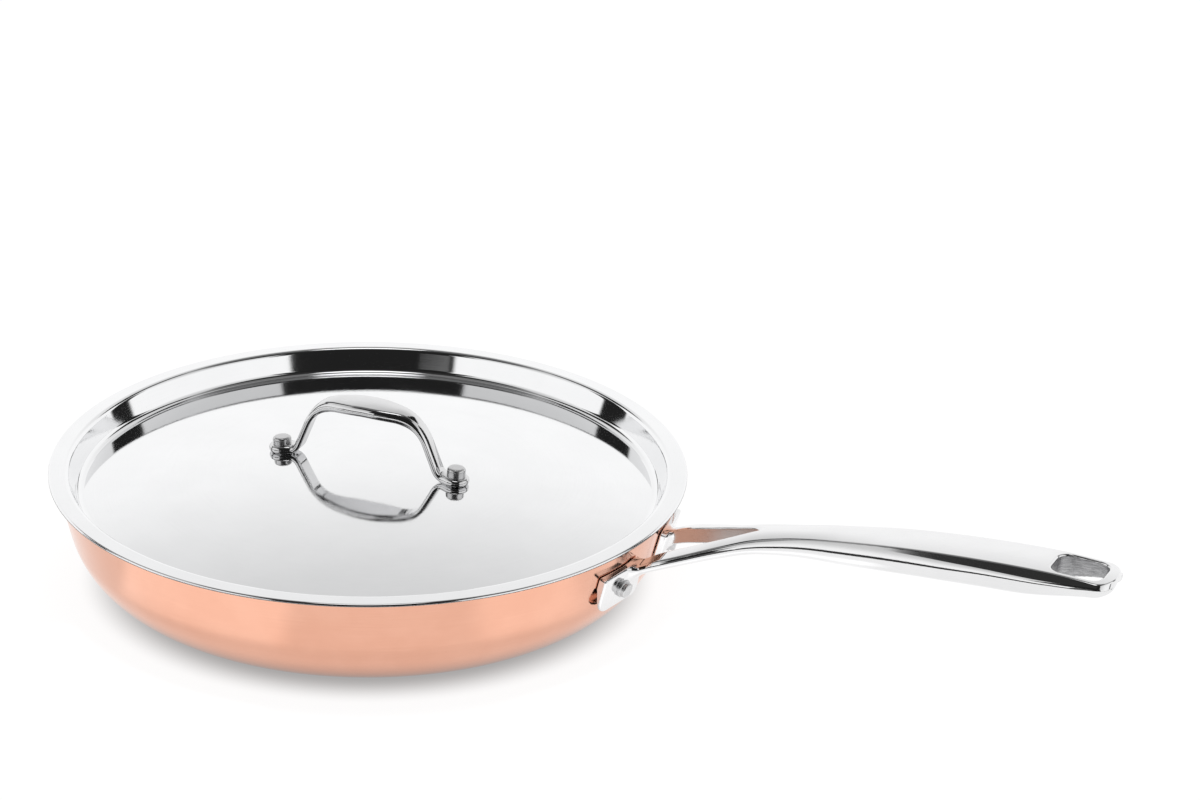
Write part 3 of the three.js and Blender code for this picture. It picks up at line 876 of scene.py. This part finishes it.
def strap_field(x, y, z):
    """The bent strap and its lugs, by symmetry about the middle of the grip."""
    height, at = strap_place(np.abs(x), z)
    wide = 1 - smoothstep(at, 3, GRIP_HALF + 2)
    heavy = 1 - smoothstep(at, GRIP_HALF - 7, GRIP_HALF + 4)
    half = (LEG_WIDE + (GRIP_WIDE - LEG_WIDE) * wide) / 2
    thick = LEG_THICK + (GRIP_THICK - LEG_THICK) * heavy
    across = np.abs(y) / half
    crown = STRAP_CROWN * thick
    slab = np.maximum(height - thick / 2 + crown * across**2, -height - thick / 2)
    bar = both(slab, np.abs(y) - half, STRAP_ROUND * thick)
    bar = both(bar, np.abs(x) - LUG_X - 1.0 + 0 * y, 0.5)
    tilt = math.atan(LUG_SLOPE)
    u = (np.abs(x) - LUG_X) * math.cos(tilt) - (z - lug_seat_z()) * math.sin(tilt)
    w = (np.abs(x) - LUG_X) * math.sin(tilt) + (z - lug_seat_z()) * math.cos(tilt)
    lug = both(np.hypot(u, y) - LUG_R, np.abs(w - LUG_THICK / 2) - LUG_THICK / 2, LUG_ROUND)
    return either(bar, lug, LUG_FILLET)


def lid_turn():
    """Rotation that turns the lid as it sits in the photo."""
    c, s = math.cos(LID_TURN), math.sin(LID_TURN)
    return np.array([[c, -s, 0], [s, c, 0], [0, 0, 1]])


def build_lid_handle():
    """The bent strap with its two lugs, as one piece."""
    low = [-LUG_X - LUG_R - 1.5, -GRIP_WIDE / 2 - 1.5, lug_seat_z() - 2.5]
    high = [LUG_X + LUG_R + 1.5, GRIP_WIDE / 2 + 1.5, lug_seat_z() + GRIP_HEIGHT + GRIP_THICK + 1.5]
    points, quads = net(strap_field, low, high, STRAP_STEP)
    points, normals = settle(strap_field, points, quads, STRAP_STEP)
    turn = lid_turn()
    piece(
        "lid_grip", points @ turn.T, quads.tolist(), normals @ turn.T, "lid", "lid_handle",
        "lid_handle_steel", [strap_metal],
    )


def lug_frame(side):
    """Matrix whose origin is on the dome under a lug, with Z square to the dome, in millimetres."""
    tilt = side * math.atan(LUG_SLOPE)
    place = np.eye(4)
    place[:3, :3] = lid_turn() @ np.array(Matrix.Rotation(tilt, 3, "Y"))
    place[:3, 3] = lid_turn() @ np.array([side * LUG_X, 0, LID_TOP_Z + dome_top(LUG_X)])
    return place


def build_lid_rivets():
    """Each rivet as one turned piece: tail under the lid, shank, and a soft-edged head on the lug."""
    seat = LUG_GAP + LUG_THICK + HEAD_GAP
    low = -LID_SHEET - LID_TAIL_GAP
    for side, name in ((-1, "left"), (1, "right")):
        high = seat + LID_RIVET_HIGH[name]
        line = outline([
            (0, low - LID_TAIL_HIGH, 0), (2.2, low - LID_TAIL_HIGH + 0.05, 2.0),
            (4.3, low - 0.55, 0.8), (LID_TAIL_R, low, 0.1), (LID_SHANK_R, low, 0.05),
            (LID_SHANK_R, seat, 0.05), (LID_RIVET_R, seat, 0.15), (LID_RIVET_R, high - 0.12, 1.5),
            (LID_RIVET_R * 0.5, high, 2.0), (0, high, 0),
        ])
        piece(
            f"lid_rivet_{name}_head", *turned(line, RIVET_TURNS, lug_frame(side)), "lid",
            f"lid_rivet_{name}", "rivet_steel", [rivet_metal],
        )


# --- stage ---------------------------------------------------------------------------------------

# The camera, solved from the photo: place in metres, direction of view, roll, and lens in millimetres
CAMERA_PLACE = Vector((0.91095, -1.86773, 0.99417))
CAMERA_AIM = Vector((-0.35975, 0.84300, -0.39992))
CAMERA_ROLL = math.radians(1.224)
CAMERA_LENS = 150
SENSOR = 36

# The floor's own light. It falls off under the pan between two radii, a painted contact shadow in place of
# a cast shadow.
# Each painted light patch in the ring round the pan runs between two turns about the axis, with a soft
# border, all in
# degrees, and then comes its strength: the patches show only as painted reflections, the soft windows in
# the copper.
FLOOR_HALF = 9.0
FLOOR_GLOW = 0.93
SHADOW_SHARE = 0.4
SHADOW_RADII = (108, 134)
PAINTED_LIGHT_RING = (150, 230, 10)
PAINTED_LIGHT_PATCHES = [(-131, 8, 4, 0.08), (-131, -83, 3, 0.19), (-38, -10, 5, 0.17)]

# The studio: its lights as brightness, and its places in degrees, as turns from the camera's side and
# heights above the floor. Dark panels: turn from and to, height from and to.
SWEEP_LIGHT = (1.0, 0.66)
ABOVE_SWEEP = 0.16
FRONT_DARK = 0.03
PANEL_DARK = 0.015
WINDOW_LIGHT = 0.14
TOP_LIGHT = 1.5
STUDIO_STRENGTH = 1.08
DARK_PANELS = [
    (-34, 31, -90, 33), (-46, 42, 31, 56), (103, 114, -5, 32), (117, 139, 30, 56), (-115, -101, -5, 32),
    (-144, -119, 30, 56),
]
HORIZON = 4.0
HORIZON_RISE = 8.0


def add_camera():
    """The camera, where the photo was taken from."""
    data = bpy.data.cameras.new("camera")
    data.lens = CAMERA_LENS
    data.sensor_width = SENSOR
    data.clip_start = 0.05
    data.clip_end = 50
    camera = bpy.data.objects.new("camera", data)
    bpy.context.scene.collection.objects.link(camera)
    aim = CAMERA_AIM.normalized()
    right = aim.cross(Vector((0, 0, 1))).normalized()
    up = right.cross(aim)
    c, s = math.cos(CAMERA_ROLL), math.sin(CAMERA_ROLL)
    right, up = right * c + up * s, up * c - right * s
    place = Matrix((right, up, -aim)).transposed().to_4x4()
    place.translation = CAMERA_PLACE
    camera.matrix_world = place
    bpy.context.scene.camera = camera


def add_floor():
    """A pale floor that glows a little, with a painted contact shadow as a soft dark ring where the pan
    stands, and painted light patches round it.
    """
    mesh = bpy.data.meshes.new("floor")
    corners = [(FLOOR_HALF * x, FLOOR_HALF * y, 0) for x, y in ((-1, -1), (1, -1), (1, 1), (-1, 1))]
    mesh.from_pydata(corners, [], [(0, 1, 2, 3)])
    floor = bpy.data.objects.new("floor", mesh)
    bpy.context.scene.collection.objects.link(floor)
    n = Nodes("pale_floor_painted_light")
    grain = n.noise(n.object_point(), 0.02, 3.0)
    n.feed(n.shader.inputs["Base Color"], n.mix(grain, (0.12, 0.12, 0.12, 1), (0.13, 0.13, 0.13, 1)))
    n.shader.inputs["Roughness"].default_value = 0.8
    n.shader.inputs["Specular IOR Level"].default_value = 0.0
    n.shader.inputs["Emission Color"].default_value = (1, 1, 1, 1)
    x, y, _ = n.parts(n.object_point())
    radius = n.radius(x, y)
    # Painted contact shadow: the floor's glow falls to a share of itself in a ring under the pan
    painted_floor_light = n.ramp(radius, *SHADOW_RADII, FLOOR_GLOW * SHADOW_SHARE, FLOOR_GLOW)
    turn = n.degrees(n.math("ARCTAN2", y, x))
    ring = n.band(radius, *PAINTED_LIGHT_RING)
    # Painted light patches on the floor round the pan, which show only as painted reflections in the copper
    for start, stop, soft, extra in PAINTED_LIGHT_PATCHES:
        painted_light_patch = n.math("MULTIPLY", n.band(turn, start, stop, soft), ring)
        painted_floor_light = n.math("ADD", painted_floor_light, n.math("MULTIPLY", painted_light_patch, extra))
    n.feed(n.shader.inputs["Emission Strength"], painted_floor_light)
    mesh.materials.append(n.material)


class Sky(Nodes):
    """The studio round the object, as the world's own light."""

    def __init__(self):
        world = bpy.data.worlds.new("studio")
        world.use_nodes = True
        bpy.context.scene.world = world
        self.tree = world.node_tree
        self.background = self.tree.nodes["Background"]

    def blend(self, share, a, b):
        """A brightness between two others."""
        node = self.add("ShaderNodeMix", data_type="FLOAT")
        self.feed(node.inputs[0], share)
        self.feed(node.inputs[2], a)
        self.feed(node.inputs[3], b)
        return node.outputs[0]


def add_studio():
    """A white sweep that dims as it rises, a dark front above and at the horizon, dark panels, and a small
    bright top."""
    s = Sky()
    coord = s.add("ShaderNodeTexCoord")
    x, y, z = s.parts(coord.outputs["Generated"])
    front = Vector((CAMERA_PLACE.x, CAMERA_PLACE.y)).normalized()
    toward = s.math("ADD", s.math("MULTIPLY", x, front.x), s.math("MULTIPLY", y, front.y))
    aside = s.math("ADD", s.math("MULTIPLY", x, -front.y), s.math("MULTIPLY", y, front.x))
    turn = s.degrees(s.math("ARCTAN2", aside, toward))
    rise = s.degrees(s.math("ARCSINE", z))
    light = s.ramp(rise, 20, 50, *SWEEP_LIGHT)
    light = s.blend(s.ramp(rise, 50, 62), light, ABOVE_SWEEP)
    front_half = s.ramp(s.math("ABSOLUTE", turn), 92, 94, 1.0, 0.0)
    light = s.blend(s.math("MULTIPLY", front_half, s.ramp(rise, 52, 55)), light, FRONT_DARK)
    for low, high, bottom, top in DARK_PANELS:
        panel = s.math("MULTIPLY", s.band(turn, low, high, 0.8), s.band(rise, bottom, top, 1.5))
        light = s.blend(panel, light, PANEL_DARK)
    right_side = s.band(turn, -72, -34, 2.0)
    horizon = s.math("ADD", HORIZON, s.math("MULTIPLY", right_side, HORIZON_RISE))
    below = s.math("MULTIPLY", s.math("LESS_THAN", rise, horizon), front_half)
    light = s.blend(below, light, FRONT_DARK)
    window = s.math("MULTIPLY", s.band(turn, -32, -20, 0.8), s.band(rise, 8, 19.5, 0.6))
    light = s.blend(window, light, WINDOW_LIGHT)
    light = s.blend(s.ramp(rise, 79, 81), light, TOP_LIGHT)
    s.feed(s.background.inputs["Color"], s.join(light, light, light))
    s.background.inputs["Strength"].default_value = STUDIO_STRENGTH


def add_overhead_light():
    """A wide soft lamp over the object, which no mirror surface or camera sees."""
    data = bpy.data.lights.new("overhead", "AREA")
    data.shape = "DISK"
    data.size = 2.2
    data.energy = 20
    lamp = bpy.data.objects.new("overhead", data)
    lamp.location = (-0.15, 0.25, 2.2)
    lamp.rotation_euler = (Vector((-0.1, 0.0, 0.0)) - lamp.location).to_track_quat("-Z", "Y").to_euler()
    bpy.context.scene.collection.objects.link(lamp)
    lamp.visible_glossy = False
    lamp.visible_camera = False


bpy.context.scene.view_settings.view_transform = "Standard"
add_camera()
add_floor()
add_studio()
add_overhead_light()
build_body()
build_pan_handle()
build_handle_rivets()
build_lid_shell()
build_lid_handle()
build_lid_rivets()
